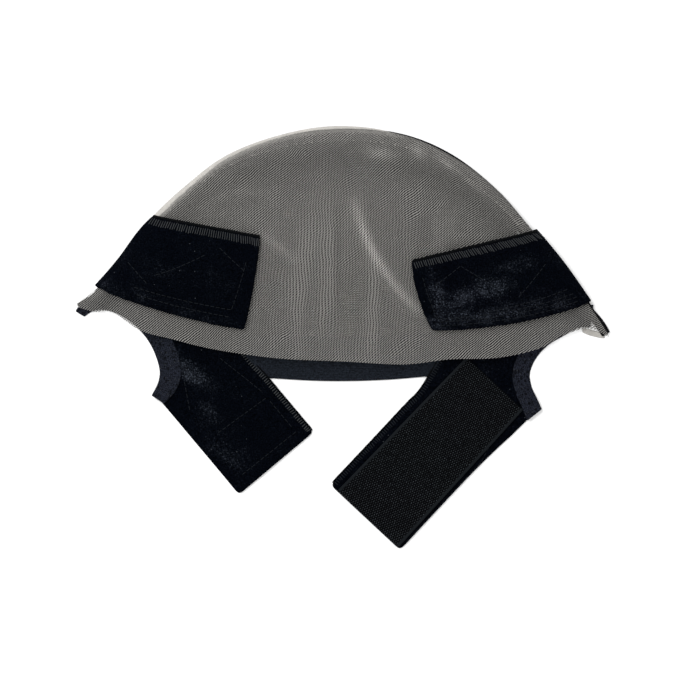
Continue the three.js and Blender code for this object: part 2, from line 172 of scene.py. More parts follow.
# Each side's ear curve, grip and strap root as shares of half the width and of the crown's height. Edges are
# shares of the strap's width, joins of its length, and the rest is in millimetres and degrees.
LEFT = {
    "side": -1,
    "hooked": False,
    "ear": [
        (-0.972, 0.1),
        (-0.937, 0.128),
        (-0.885, 0.13),
        (-0.824, 0.097),
        (-0.766, 0.038),
        (-0.72, -0.043),
        (-0.692, -0.142),
        (-0.695, -0.21),
        (-0.72, -0.273),
    ],
    "ear_width": 13,
    "ear_taper": [0.44, 0.85, 0.95, 1, 1, 1, 0.97, 0.68],
    "tip_slant": 0.8,
    "grip_from": 1,
    "grip_to": 3.2,
    "grip": [(-0.56, 0.33), (-0.445, 0.12), (-0.368, -0.06)],
    "root": (-0.564, -0.116),
    "angle": -50,
    "strap_length": 78.5,
    "strap_width": 58,
    "outer_edge": 0.515,
    "inner_edge": -0.495,
    "join_outer": 0.075,
    "join_inner": 0.42,
    "outer_swell": 0,
}
RIGHT = {
    "side": 1,
    "hooked": True,
    "ear": [
        (0.93, 0.05),
        (0.885, 0.046),
        (0.828, 0.008),
        (0.772, -0.035),
        (0.728, -0.095),
        (0.704, -0.165),
        (0.71, -0.228),
        (0.726, -0.277),
        (0.748, -0.338),
    ],
    "ear_width": 10.5,
    "ear_taper": [1.3, 1.25, 1.05, 1, 1, 1, 1, 1.05],
    "tip_slant": 2.6,
    "grip_from": 13,
    "grip_to": 10.9,
    "grip": [(0.58, 0.3), (0.46, 0.1), (0.37, -0.075)],
    "root": (0.528, -0.272),
    "angle": -133.1,
    "strap_length": 102,
    "strap_width": 56.8,
    "outer_edge": 0.475,
    "inner_edge": -0.535,
    "join_outer": -0.11,
    "join_inner": 0.22,
    "outer_swell": 2.4,
}

# Soft spots of painted sheen, where the pile is brushed and catches the light: the middle, the length, the
# width, the direction and how strong
LEFT_STRAP_SHEEN = [
    (-91, -21, 11, 3.5, -37, 0.85),
    (-80, -45, 7, 5, -50, 0.16),
    (-73, -65, 15, 6, -50, 0.14),
    (-100, -10, 7, 5, -30, 0.08),
]
RIGHT_STRAP_SHEEN = [
    (78, -20, 10, 7, 30, 0.05),
]

# Rows of top stitching on the straps: along the strap and across it at both ends, in millimetres
LEFT_STRAP_SEAMS = [
    (42, 16, 44.5, -20),
    (5, 11, 21, 20),
    (70.5, 21, 71.5, -21),
    (8, -14, 40, -20.5),
    (47, -20.5, 68, -20.5),
]
RIGHT_STRAP_SEAMS = [
    (-6, 16, 30, 26.3),
    (30, 26.3, 96, 26.3),
]
OVERLOCK_START = 0.3
OVERLOCK_END = 0.985
OVERLOCK_LOOP = 1.3

# How finely lines are cut up
LINE_RUNS = 480
LINE_STEP = 0.004
CURVE_STEPS = 30

# The velvet's outer line runs along the ear tape from this share of it. Then it goes down the strap, swells
# near its root by so many millimetres of its length, and is rounded a little at its corners.
BESIDE_EAR_FROM = 0.28
SWELL_REACH = 50
CORNER_ALONG = 0.975
CORNER_ACROSS = 0.945


def mix(first, second, share):
    return first + (second - first) * share


def curve(before, first, second, after, t):
    """A smooth curve from first to second, which also heeds what comes before and after them."""
    bend = (2 * before - 5 * first + 4 * second - after) * t * t
    turn = (3 * first - before - 3 * second + after) * t * t * t
    return first + 0.5 * ((second - before) * t + bend + turn)


def between(rows, column, share):
    """The value of a column between the rows of a table, on a smooth curve through them."""
    place = min(max(share, 0), 1) * (len(rows) - 1)
    row = min(int(place), len(rows) - 2)
    first = rows[row][column]
    second = rows[row + 1][column]
    before = rows[row - 1][column] if row > 0 else 2 * first - second
    after = rows[row + 2][column] if row + 2 < len(rows) else 2 * second - first
    return curve(before, first, second, after, place - row)


def even_line(points):
    """The line through the points as short runs of one length, so that shares go by its length."""
    gone = [0]
    for start, end in zip(points, points[1:]):
        gone.append(gone[-1] + (end - start).length)
    line = []
    run = 0
    for step in range(LINE_RUNS + 1):
        wanted = gone[-1] * step / LINE_RUNS
        while run < len(points) - 2 and gone[run + 1] < wanted:
            run += 1
        share = (wanted - gone[run]) / max(gone[run + 1] - gone[run], 1e-9)
        line.append(points[run].lerp(points[run + 1], min(share, 1)))
    return line


def smooth_points(points):
    """Close points on a smooth curve through the given ones."""
    ends = [points[0], *points, points[-1]]
    close = []
    for before, first, second, after in zip(ends, ends[1:], ends[2:], ends[3:]):
        for step in range(CURVE_STEPS):
            close.append(curve(before, first, second, after, step / CURVE_STEPS))
    close.append(points[-1])
    return close


def point_on(line, share):
    place = min(max(share, 0), 1) * (len(line) - 1)
    run = min(int(place), len(line) - 2)
    return line[run].lerp(line[run + 1], place - run)


def line_length(line):
    return sum((second - first).length for first, second in zip(line, line[1:]))


def beside(line, share, distance, side):
    """A point beside a line, on the side that faces the middle of the cap."""
    along = (point_on(line, share + LINE_STEP) - point_on(line, share - LINE_STEP)).normalized()
    return point_on(line, share) + distance * side * Vector((along.y, -along.x))


def scaled(place):
    return Vector((place[0] * HALF_WIDTH, place[1] * CROWN_HEIGHT))


def crown_point(section):
    return scaled((between(CROWN, 0, section), between(CROWN, 1, section)))


def crown_inward(section):
    along = (crown_point(section + 1e-4) - crown_point(section - 1e-4)).normalized()
    return Vector((along.y, -along.x))


def inside_binding(section):
    """The line under the crown binding's inner edge, where the rest of the back starts."""
    inset = max(between(CROWN, 2, section), 0) * SEAM_ROLL + CROWN_BINDING_WIDTH - TUCKED_IN
    return crown_point(section) + inset * crown_inward(section)


def ear_line(values):
    return even_line(smooth_points([scaled(place) for place in values["ear"]]))


def ear_inner(values, share, gap):
    """The inner edge of the ear binding, or the line at a gap beside it."""
    taper = [(width,) for width in values["ear_taper"]]
    width = between(taper, 0, share) * values["ear_width"]
    return beside(values["ear_line"], share, width + gap, values["side"])


def strap_point(values, along, across):
    """A place on a strap, along it from its root and across it towards the outer edge."""
    turn = math.radians(values["angle"])
    down = Vector((math.cos(turn), math.sin(turn)))
    out = values["side"] * Vector((-down.y, down.x))
    return scaled(values["root"]) + along * down + across * out


def strap_edge(values, edge, join, swell=0.0):
    length = values["strap_length"]
    width = values["strap_width"]
    points = []
    for step in range(8):
        along = mix(join, CORNER_ALONG, step / 7) * length
        wider = swell * max(1 - max(along, 0) / SWELL_REACH, 0) ** 2
        points.append(strap_point(values, along, edge * width + wider))
    return [*points, strap_point(values, length, CORNER_ACROSS * edge * width)]


def outer_line(values):
    beside_ear = [ear_inner(values, mix(BESIDE_EAR_FROM, 1, step / 15), -UNDER_TAPE) for step in range(16)]
    strap = strap_edge(values, values["outer_edge"], values["join_outer"], values["outer_swell"])
    start = inside_binding(values["grip_from"] / LAST)
    return even_line([start, *smooth_points(beside_ear), *smooth_points([beside_ear[-1], *strap])[1:]])


def inner_line(values):
    strap = strap_edge(values, values["inner_edge"], values["join_inner"])
    grip = [scaled(place) for place in values["grip"]]
    return even_line(smooth_points([inside_binding(values["grip_to"] / LAST), *grip, *strap]))


def band_plan(values, across, along):
    """A place on a velvet band: across from its outer edge, and along from the crown to the strap's end."""
    place = point_on(values["outer"], along).lerp(point_on(values["inner"], along), across)
    top = point_on(values["outer"], 0).lerp(point_on(values["inner"], 0), across)
    start = inside_binding(mix(values["grip_from"], values["grip_to"], across) / LAST)
    return place + max(0, 1 - along / GRIP_LEAD) * (start - top)


for values in (LEFT, RIGHT):
    values["ear_line"] = ear_line(values)
    values["outer"] = outer_line(values)
    values["inner"] = inner_line(values)


def in_row(point):
    """A point in millimetres from the brow line, as a place in the row frame."""
    return Vector((point.x, point.y + BROW_Y, point.z)) * MM


def paleness(spots, spot):
    """How much painted light soft spots put on a place: painted sheen on the velvet, painted glints on the
    net.
    """
    total = 0
    for x, y, length, width, angle, strength in spots:
        offset = Matrix.Rotation(-math.radians(angle), 2) @ (spot - Vector((x, y)))
        total += strength * math.exp(-((offset.x / length) ** 2) - (offset.y / width) ** 2)
    return total


def cloth(columns, rows, place):
    """An even grid of cloth. place gives each point, where it is in the weave, and how pale it is there."""
    mesh = bmesh.new()
    weave = mesh.verts.layers.float_vector.new("weave")
    bmesh.ops.create_grid(mesh, x_segments=columns, y_segments=rows, size=0.5)
    for vert in mesh.verts:
        point, vert[weave] = place(vert.co.x + 0.5, vert.co.y + 0.5)
        vert.co = in_row(point)
    mesh.normal_update()
    if sum(face.normal.z for face in mesh.faces) < 0:
        bmesh.ops.reverse_faces(mesh, faces=mesh.faces)
    return mesh


def thread(mesh, start, end, width, height, up, finish=0):
    """One laid thread with round ends, in one of the mesh's finishes."""
    along = (end - start).normalized()
    across = up.cross(along).normalized()
    above = along.cross(across)
    half = max((end - start).length - width, 0) / 2
    middle = (start + end) / 2
    rod = bmesh.ops.create_uvsphere(mesh, u_segments=6, v_segments=5, radius=0.5)["verts"]
    for vert in rod:
        length = vert.co.z * width + math.copysign(half, vert.co.z)
        vert.co = in_row(middle + vert.co.x * width * across + vert.co.y * height * above + length * along)
        for face in vert.link_faces:
            face.material_index = finish


def finished(name, mesh, slot, *finishes):
    """The mesh as a piece of the cap, with its finishes."""
    data = bpy.data.meshes.new(name)
    mesh.to_mesh(data)
    mesh.free()
    data.shade_smooth()
    for finish in finishes:
        data.materials.append(finish)
    piece = bpy.data.objects.new(name, data)
    bpy.context.scene.collection.objects.link(piece)
    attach(piece, "root")
    return piece


def thicken(piece, wall, level=1):
    """Gives the cloth its wall, downwards from its face, and rounds its edges."""
    solid = piece.modifiers.new("wall", "SOLIDIFY")
    solid.thickness = wall * MM
    solid.offset = -1
    round_edges = piece.modifiers.new("soft edges", "SUBSURF")
    round_edges.levels = level
    round_edges.render_levels = level


def add_node(tree, kind, inputs=None, **settings):
    """A shader node with its settings. An input that is a socket is linked."""
    made = tree.nodes.new(kind)
    for name, value in settings.items():
        setattr(made, name, value)
    for name, value in (inputs or {}).items():
        if isinstance(value, bpy.types.NodeSocket):
            tree.links.new(value, made.inputs[name])
        else:
            made.inputs[name].default_value = value
    return made


def arithmetic(tree, operation, first, second=0.0):
    return add_node(tree, "ShaderNodeMath", {0: first, 1: second}, operation=operation).outputs[0]


def times(tree, first, second):
    return arithmetic(tree, "MULTIPLY", first, second)


def plus(tree, first, second):
    return arithmetic(tree, "ADD", first, second)


def minus(tree, first, second):
    return arithmetic(tree, "SUBTRACT", first, second)


def new_finish(name, roughness, gloss):
    """A material, its node tree and its shader, which stands in the material itself."""
    finish = bpy.data.materials.new(name)
    finish.use_nodes = True
    shader = finish.node_tree.nodes["Principled BSDF"]
    shader.inputs["Roughness"].default_value = roughness
    shader.inputs["Specular IOR Level"].default_value = gloss
    return finish, finish.node_tree, shader


def new_group(name, inputs, outputs):
    """A node group for a place and some values, with what it is given and what it makes."""
    group = bpy.data.node_groups.new(name, "ShaderNodeTree")
    group.interface.new_socket("Place", in_out="INPUT", socket_type="NodeSocketVector")
    for way, sockets in (("INPUT", inputs), ("OUTPUT", outputs)):
        for socket in sockets:
            group.interface.new_socket(socket, in_out=way, socket_type="NodeSocketFloat")
    return group, group.nodes.new("NodeGroupInput").outputs, group.nodes.new("NodeGroupOutput").inputs


def clouds(tree, place, scale, detail, roughness=0.5, distortion=0.0):
    given = {"Vector": place, "Scale": scale, "Detail": detail, "Roughness": roughness}
    return add_node(tree, "ShaderNodeTexNoise", {**given, "Distortion": distortion}).outputs


def vector_sum(tree, operation, first, second):
    return add_node(tree, "ShaderNodeVectorMath", {0: first, 1: second}, operation=operation).outputs


def make_fibre_group():
    """Loose fibres in cloth and thread: how light or dark they are, and how they stand up."""
    group, given, made = new_group("fibres", ["Fineness", "Contrast"], ["Shade", "Height"])
    grain = clouds(group, given["Place"], given["Fineness"], 3.0, 0.65)["Fac"]
    spread = times(group, minus(group, grain, 0.5), given["Contrast"])
    group.links.new(plus(group, spread, 1.0), made["Shade"])
    group.links.new(grain, made["Height"])
    return group


def make_speck_group():
    """Scattered round specks, such as lint, pile tips and stitch holes."""
    group, given, made = new_group("specks", ["Fineness", "Rarity"], ["Specks"])
    place = {"Vector": given["Place"], "Scale": given["Fineness"]}
    cells = add_node(group, "ShaderNodeTexVoronoi", place).outputs
    chance = add_node(group, "ShaderNodeSeparateColor", {"Color": cells["Color"]}).outputs["Red"]
    size = times(group, minus(group, chance, given["Rarity"]), 0.4)
    group.links.new(arithmetic(group, "LESS_THAN", cells["Distance"], size), made["Specks"])
    return group


fibres = make_fibre_group()
specks = make_speck_group()


def add_fibres(tree, place, fineness, contrast):
    given = {"Place": place, "Fineness": fineness, "Contrast": contrast}
    made = add_node(tree, "ShaderNodeGroup", given, node_tree=fibres).outputs
    return made["Shade"], made["Height"]


def add_specks(tree, place, fineness, rarity):
    given = {"Place": place, "Fineness": fineness, "Rarity": rarity}
    return add_node(tree, "ShaderNodeGroup", given, node_tree=specks).outputs["Specks"]


def mixed_colour(tree, share, first, second, way="MIX"):
    """Two colours mixed. The mix node's inputs 6 and 7 and its output 2 are its colours."""
    given = {0: share, 6: first, 7: second}
    return add_node(tree, "ShaderNodeMix", given, data_type="RGBA", blend_type=way).outputs[2]


def object_place(tree):
    return add_node(tree, "ShaderNodeTexCoord").outputs["Object"]


def shaded(tree, colour, shade):
    """A colour, lighter and darker by a shade."""
    grey = add_node(tree, "ShaderNodeCombineColor", {"Red": shade, "Green": shade, "Blue": shade}).outputs[0]
    return mixed_colour(tree, 1.0, colour, grey, "MULTIPLY")


def bump(tree, height, distance, strength=1.0):
    given = {"Height": height, "Distance": distance * MM, "Strength": strength}
    return add_node(tree, "ShaderNodeBump", given).outputs["Normal"]


def add_weave(tree):
    """Where a place is in the weave, and how pale the cloth is there: painted sheen, highlights and shade on
    velvet and net, milkiness on the clear tape.
    """
    woven = add_node(tree, "ShaderNodeAttribute", attribute_name="weave").outputs["Vector"]
    return woven, add_node(tree, "ShaderNodeSeparateXYZ", {"Vector": woven}).outputs["Z"]


def make_velvet():
    """Black stretch velvet: a dark pile with a painted sheen, paler where it has been brushed over and
    catches the light, with some lint.
    """
    finish, tree, shader = new_finish("black velvet", 0.9, 0.004)
    place = object_place(tree)
    _, pale = add_weave(tree)
    soft = clouds(tree, place, 90.0, 4.0, 0.65, 0.8)["Fac"]
    shade, height = add_fibres(tree, place, 1300.0, 5.0)
    lit = arithmetic(tree, "MAXIMUM", shade, 0.05)
    # Painted sheen: paler pile in soft clumps and in the listed spots, speckled by the pile tips
    clumps = times(tree, arithmetic(tree, "POWER", soft, 4.0), 16.0)
    painted_sheen = times(tree, plus(tree, pale, 0.012), clumps)
    tips = plus(tree, times(tree, add_specks(tree, place, 950.0, -0.35), 1.7), 0.35)
    share = times(tree, times(tree, painted_sheen, lit), tips)
    pile = shaded(tree, mixed_colour(tree, share, PILE_DARK, PILE_PAINTED_SHEEN), lit)
    lint = add_specks(tree, place, 330.0, 0.72)
    tree.links.new(mixed_colour(tree, lint, pile, LINT), shader.inputs["Base Color"])
    tree.links.new(bump(tree, height, 0.5), shader.inputs["Normal"])
    shader.inputs["Sheen Weight"].default_value = 0.005
    shader.inputs["Sheen Roughness"].default_value = 0.4
    shader.inputs["Sheen Tint"].default_value = (0.6, 0.68, 0.85, 1)
    return finish


def make_sewing_thread(name, colour):
    """Polyester sewing thread, a little glossy."""
    finish, tree, shader = new_finish(name, 0.6, 0.03)
    shade, height = add_fibres(tree, object_place(tree), 2200.0, 1.6)
    tree.links.new(shaded(tree, colour, shade), shader.inputs["Base Color"])
    tree.links.new(bump(tree, height, 0.15), shader.inputs["Normal"])
    return finish


velvet = make_velvet()
sewing_thread = make_sewing_thread("dark grey sewing thread", SEWING_THREAD)
edge_thread = make_sewing_thread("black edge thread", EDGE_THREAD)
top_thread = make_sewing_thread("black top thread", TOP_STITCH)
UP = Vector((0, 0, 1))


def overlock(mesh, place, normal, length, pitch, rib, roll, slant=0.0, finish=0):
    """Overlock threads over an edge: a dark roll along it, and close ribs that run in from the roll.

    place gives the point at a share of the edge's length and a distance in from it, and normal the way out.
    """
    count = round(length / pitch)
    for step in range(count):
        share = (step + 0.5) / count
        up = normal(share)
        uneven = noise.noise(Vector((step * 1.7, length, 0)))
        sunk = 0.2 * noise.noise(Vector((step * 2.9, length, 4)))
        lean = (slant + 0.5 * uneven) * pitch / length
        start = place(share, roll * (1 + 0.25 * uneven)) + (sunk - 0.2) * up
        end = place(share + lean, roll + rib * (1 + 0.16 * uneven)) + sunk * up
        thread(mesh, start, end, (0.4 + 0.1 * uneven) * pitch, 0.62, up, finish)
    loops = round(length / OVERLOCK_LOOP)
    for loop in range(loops):
        up = normal((loop + 0.5) / loops)
        wide = roll * (1 + 0.25 * noise.noise(Vector((loop * 2.3, length, 5))))
        start = place((loop - 0.3) / loops, 0.45 * roll) - 0.35 * up
        end = place((loop + 1.3) / loops, 0.45 * roll) - 0.35 * up
        thread(mesh, start, end, wide, 1.2, up, 1)


def stitches(mesh, place, normal, length):
    """A row of top stitches that are sunk a little into the cloth."""
    count = max(round(length / (STITCH_LENGTH + STITCH_GAP)), 1)
    for stitch in range(count):
        share = (stitch + 0.15) / count
        reach = STITCH_LENGTH / (STITCH_LENGTH + STITCH_GAP) / count
        up = normal(share)
        thread(mesh, place(share), place(share + reach), STITCH_THREAD, 0.4, up, 2)


def flat(spot, height):
    return Vector((spot.x, spot.y, height))


def flat_up(_share):
    return UP


def ripple(spot, size, height):
    """The unevenness of cloth that lies loose, never below nought."""
    return height * (0.5 + 0.5 * noise.noise(Vector((spot.x / size, spot.y / size, height))))


def velvet_band(side, values, seams, spots):
    """One band with its overlock and its rows of top stitching."""
    width = values["strap_width"]
    length = line_length(values["outer"])

    def place(across, along):
        spot = band_plan(values, across, along)
        rise = math.sin(math.pi * across) * ripple(spot, 24, 0.7)
        # The weave's third value is the painted sheen of the brushed spots
        return flat(spot, VELVET_WALL + rise), (across * width, along * length, paleness(spots, spot))

    band = finished(f"velvet_strap_{side}", cloth(18, 96, place), "velvet", velvet)
    thicken(band, VELVET_WALL)

    def from_edge(share, distance):
        along = mix(OVERLOCK_START, OVERLOCK_END, share)
        return flat(beside(values["inner"], along, 0.5 - distance, values["side"]), VELVET_WALL + 0.1)

    sewn = bmesh.new()
    edge_length = line_length(values["inner"]) * (OVERLOCK_END - OVERLOCK_START)
    finish = 2 if values["hooked"] else 0
    overlock(sewn, from_edge, flat_up, edge_length, STRAP_RIB_PITCH, STRAP_RIB, STRAP_ROLL, 0.0, finish)
    for from_along, from_across, to_along, to_across in seams:
        start = strap_point(values, from_along, from_across)
        end = strap_point(values, to_along, to_across)

        def seam(share):
            return flat(start.lerp(end, share), VELVET_WALL + ON_PILE)

        stitches(sewn, seam, flat_up, (end - start).length)
    threads = finished(f"strap_threads_{side}", sewn, "velvet", sewing_thread, edge_thread, top_thread)
    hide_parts(f"velvet_band_{side}")
    return band


velvet_band("left", LEFT, LEFT_STRAP_SEAMS, LEFT_STRAP_SHEEN)
strap_right = velvet_band("right", RIGHT, RIGHT_STRAP_SEAMS, RIGHT_STRAP_SHEEN)

# Ear bindings
# Each ear curve is bound with a soft knit tape, folded over the raw edge and sewn down with small stitches
# in two rows. It narrows towards the ear tab, where it is pulled round the corner.
KNIT_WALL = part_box("ear_binding_left")[1][2] / MM
TAPE_WALL = 0.8
KNIT_DARK = (0.0085, 0.0100, 0.0152, 1)
KNIT_WALE = 1.15
KNIT_COURSE = 0.95
PIT_DARK = (0.0008, 0.0010, 0.0016, 1)
TAB_SLANT = 2.4
SLANT_REACH = 0.1
TIP_FROM = 0.8
TIP_RISE = 0.12
HEM_RISE = 0.6
ON_BAND = 1.15
EAR_STITCH_ROWS = (0.1, 0.32, 0.54, 0.76, 0.95)
EAR_STITCH_PITCH = 2.3
EAR_STITCH = 0.55


def make_knit_group():
    """Knit rows: how high the loops stand, from a place across and along the tape in millimetres."""
    group, given, made = new_group("knit loops", ["Wale", "Course"], ["Height"])
    place = add_node(group, "ShaderNodeSeparateXYZ", {"Vector": given["Place"]}).outputs
    wale = arithmetic(group, "FRACT", arithmetic(group, "DIVIDE", place["X"], given["Wale"]))
    side = arithmetic(group, "ABSOLUTE", minus(group, wale, 0.5))
    course = arithmetic(group, "DIVIDE", place["Y"], given["Course"])
    loop = arithmetic(group, "FRACT", plus(group, course, side))
    rise = arithmetic(group, "PINGPONG", loop, 0.5)
    groove = minus(group, 0.5, side)
    group.links.new(plus(group, rise, groove), made["Height"])
    return group


knit_loops = make_knit_group()


def add_knit(tree, wale, course):
    given = {"Place": add_weave(tree)[0], "Wale": wale, "Course": course}
    return add_node(tree, "ShaderNodeGroup", given, node_tree=knit_loops).outputs["Height"]


def make_knit(name, dark, wale, course, pits=0.0):
    """Smooth black knit tape. Where it is sewn all over, the needle's small dark pits show."""
    finish, tree, shader = new_finish(name, 0.85, 0.04)
    loops = add_knit(tree, wale, course)
    shade, height = add_fibres(tree, object_place(tree), 1100.0, 4.5)
    # Painted light and shade: the loops' crests are coloured lighter and the grooves between them darker
    lit = times(tree, shade, plus(tree, loops, 0.45))
    knit = shaded(tree, dark, arithmetic(tree, "MAXIMUM", lit, 0.1))
    holes = times(tree, add_specks(tree, add_weave(tree)[0], 0.55, -0.2), pits)
    tree.links.new(mixed_colour(tree, holes, knit, PIT_DARK), shader.inputs["Base Color"])
    soft = plus(tree, loops, times(tree, height, 0.5))
    tree.links.new(bump(tree, soft, 0.35), shader.inputs["Normal"])
    return finish


ear_knit = make_knit("navy black ear knit", KNIT_DARK, KNIT_WALE, KNIT_COURSE, 0.8)


def ear_binding(side, values):
    """The binding of one ear curve, with rows of small stitches. Its inner edge lies on the velvet band."""
    line = values["ear_line"]
    length = line_length(line)
    width = values["ear_width"]
    back = (point_on(line, 0) - point_on(line, 0.05)).normalized()
    onward = (point_on(line, 1) - point_on(line, 0.95)).normalized()

    def spot(across, along):
        edge = point_on(line, along).lerp(ear_inner(values, along, 0), across)
        at_tab = TAB_SLANT * max(1 - along / SLANT_REACH, 0) * back
        at_tip = values["tip_slant"] * max((along - 1) / SLANT_REACH + 1, 0) * onward
        return edge + across * (at_tab + at_tip)

    def height(across, along):
        hemmed = TAPE_WALL + HEM_RISE * math.sin(0.5 * math.pi * min(3 * across, 1)) + ON_BAND * across ** 3
        return mix(hemmed, VELVET_WALL + 2 * TAPE_WALL, min(max((along - TIP_FROM) / TIP_RISE, 0), 1))

    def place(across, along):
        return flat(spot(across, along), height(across, along)), (across * width, along * length, 0)

    binding = finished(f"ear_tape_{side}", cloth(12, 72, place), "knit", ear_knit)
    thicken(binding, TAPE_WALL)
    sewn = bmesh.new()
    for row in EAR_STITCH_ROWS:
        count = round(length * 0.9 / EAR_STITCH_PITCH)
        for stitch in range(count):
            along = mix(0.1, 0.985, (stitch + 0.5 * (round(row * 50) % 2)) / count)
            start = flat(spot(row, along), height(row, along) + 0.02)
            end = flat(spot(row, along + EAR_STITCH / length), height(row, along) + 0.02)
            thread(sewn, start, end, STITCH_THREAD, 0.35, UP, stitch % 3 > 0)
    threads = finished(f"ear_threads_{side}", sewn, "knit", sewing_thread, edge_thread)
    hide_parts(f"ear_binding_{side}")


ear_binding("left", LEFT)
ear_binding("right", RIGHT)

# Hook tape
# The hook half of a 50 mm fastening tape is sewn on the right strap. It is woven nylon, with smooth woven
# edges and close rows of stiff little hooks between them.
HOOK_WIDTH = 50
HOOK_LENGTH = 111
HOOK_MARGIN = 1
HOOK_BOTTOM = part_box("hook_tape")[0][2] / MM
HOOK_BASE = 0.8
HOOK_COLUMNS = 56
HOOK_ROWS = 80
NARROW_ROOT = 0.93
EDGE_LIFT = 0.35
HOOK_EDGE = 1.8
HOOK_ROW = 1.45
HOOK_STEP = 1.45
HOOK_WIRE = 0.18
HOOK_REACH = 0.38
HOOK_TURN = 205
HOOK_LEAN = 0.45
HOOK_RISE = 1.3
NYLON = (0.0005, 0.0007, 0.0012, 1)
NYLON_EDGE = (0.0046, 0.0060, 0.0074, 1)
# The hooks' pale colour is partly the wire's own and partly a painted glint, on top of the wire's gloss
NYLON_HOOK = (0.0200, 0.0240, 0.0270, 1)


def hook_place(across, along):
    """A place on the hook tape, from its root end to the strap's end."""
    start = RIGHT["strap_length"] - HOOK_MARGIN - HOOK_LENGTH
    width = mix(NARROW_ROOT, 1, along / HOOK_LENGTH)
    return strap_point(RIGHT, start + along, across * width)


def make_nylon(name, colour, gloss):
    finish, tree, shader = new_finish(name, 0.55, gloss)
    loops = add_knit(tree, 0.9, 0.7)
    shade, height = add_fibres(tree, object_place(tree), 1500.0, 1.2)
    # Painted light and shade: the loops' crests are coloured lighter and the grooves between them darker
    lit = times(tree, shade, plus(tree, loops, 0.5))
    tree.links.new(shaded(tree, colour, lit), shader.inputs["Base Color"])
    tree.links.new(bump(tree, plus(tree, loops, height), 0.2), shader.inputs["Normal"])
    return finish


nylon = make_nylon("black woven nylon", NYLON, 0.03)
nylon_edge = make_nylon("woven nylon edge", NYLON_EDGE, 0.05)


def make_hook_nylon():
    """The stiff nylon wire of the hooks, which glints: it is glossy, and its pale colour holds a painted
    glint too.
    """
    finish, tree, shader = new_finish("black hook nylon", 0.35, 0.16)
    shade, _ = add_fibres(tree, object_place(tree), 700.0, 6.0)
    lit = arithmetic(tree, "MAXIMUM", shade, 0.05)
    tree.links.new(shaded(tree, NYLON_HOOK, lit), shader.inputs["Base Color"])
    return finish


def hook_base():
    def place(across, along):
        from_edge = HOOK_WIDTH * min(across, 1 - across)
        lift = EDGE_LIFT if from_edge < HOOK_EDGE else 0
        spot = hook_place((across - 0.5) * HOOK_WIDTH, along * HOOK_LENGTH)
        return flat(spot, HOOK_BOTTOM + HOOK_BASE + lift), (across * HOOK_WIDTH, along * HOOK_LENGTH, 0)

    base = finished("hook_tape_base", cloth(HOOK_COLUMNS, HOOK_ROWS, place), "hook", nylon, nylon_edge)
    for column in (0, 1, HOOK_COLUMNS - 2, HOOK_COLUMNS - 1):
        for face in range(column, HOOK_COLUMNS * HOOK_ROWS, HOOK_COLUMNS):
            base.data.polygons[face].material_index = 1
    thicken(base, HOOK_BASE)
    return base


def hook_rows():
    """All the hooks: one bent wire, copied along a row, and the row copied down the tape."""
    mesh = bmesh.new()
    bmesh.ops.create_circle(mesh, cap_ends=True, segments=4, radius=HOOK_WIRE)
    bend = math.radians(HOOK_TURN)
    bmesh.ops.spin(mesh, geom=list(mesh.faces), cent=(HOOK_REACH, 0, 0), axis=(0, 1, 0), angle=bend, steps=5)
    across = round((HOOK_WIDTH - 2 * HOOK_EDGE) / HOOK_STEP)
    along = round(HOOK_LENGTH / HOOK_ROW)

    def repeat(moves):
        """Copies all that is there so far to each place."""
        there = list(mesh.verts) + list(mesh.edges) + list(mesh.faces)
        for move in moves:
            copy = bmesh.ops.duplicate(mesh, geom=there)["geom"]
            moved = [part for part in copy if isinstance(part, bmesh.types.BMVert)]
            bmesh.ops.translate(mesh, verts=moved, vec=move)

    repeat([(0, step * HOOK_STEP, 0) for step in range(1, across)])
    repeat([(step * HOOK_ROW, (step % 2) * HOOK_STEP / 2, 0) for step in range(1, along)])
    left_out = HOOK_STEP * (across - 0.5) / 2
    for vert in mesh.verts:
        lean = HOOK_LEAN * noise.noise(vert.co * 0.9) * vert.co.z
        spot = hook_place(vert.co.y - left_out + lean, vert.co.x + 0.5 * HOOK_ROW + lean)
        vert.co = in_row(flat(spot, HOOK_BOTTOM + HOOK_BASE + 0.1 + vert.co.z * HOOK_RISE))
    return finished("hooks", mesh, "hook", make_hook_nylon())


tape_base = hook_base()
hooks = hook_rows()
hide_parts("hook_tape")

# Nape band
# The lower edge of the back is a smooth band of black stretch knit, doubled and turned under. It sags
# between the two straps, and its ends go under them.
NAPE_WIDTH = 20
NAPE_LEFT = -0.181
NAPE_RIGHT = -0.173
NAPE_SAG = 0.13
NAPE_TURN = 1
NAPE_HEM = 6
NAPE_KNIT = (0.0085, 0.0108, 0.0150, 1)


def share_at_height(values, y):
    """How far along a band's inner edge the piece beside it has the given y."""
    low = 0
    high = 1
    for _ in range(30):
        share = (low + high) / 2
        if beside(values["inner"], share, -TUCKED_IN, values["side"]).y > y:
            low = share
        else:
            high = share
    return (low + high) / 2


def nape_end(values, level, above):
    share = share_at_height(values, level * CROWN_HEIGHT + above)
    return beside(values["inner"], share, -TUCKED_IN, values["side"])


def nape_line(share, above):
    """A line across the back, a distance above the lower edge of the nape band."""
    spot = nape_end(LEFT, NAPE_LEFT, above).lerp(nape_end(RIGHT, NAPE_RIGHT, above), share)
    spot.y -= NAPE_SAG * NAPE_WIDTH * 4 * share * (1 - share)
    return spot


def nape_band():
    length = line_length([nape_line(step / 40, NAPE_WIDTH / 2) for step in range(41)])

    def place(across, along):
        spot = nape_line(across, mix(-NAPE_TURN, NAPE_WIDTH + NAPE_HEM, along))
        middle = math.sin(math.pi * along)
        height = KNIT_WALL + 0.3 * middle + ripple(Vector((spot.x / 3, spot.y)), 4, 1.1) * middle
        return flat(spot, height), (along * NAPE_WIDTH, across * length, 0)

    knit = make_knit("smooth nape knit", NAPE_KNIT, 0.8, 0.8)
    band = finished("nape_knit", cloth(90, 20, place), "knit", knit)
    thicken(band, KNIT_WALL)
    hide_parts("nape_band")


nape_band()

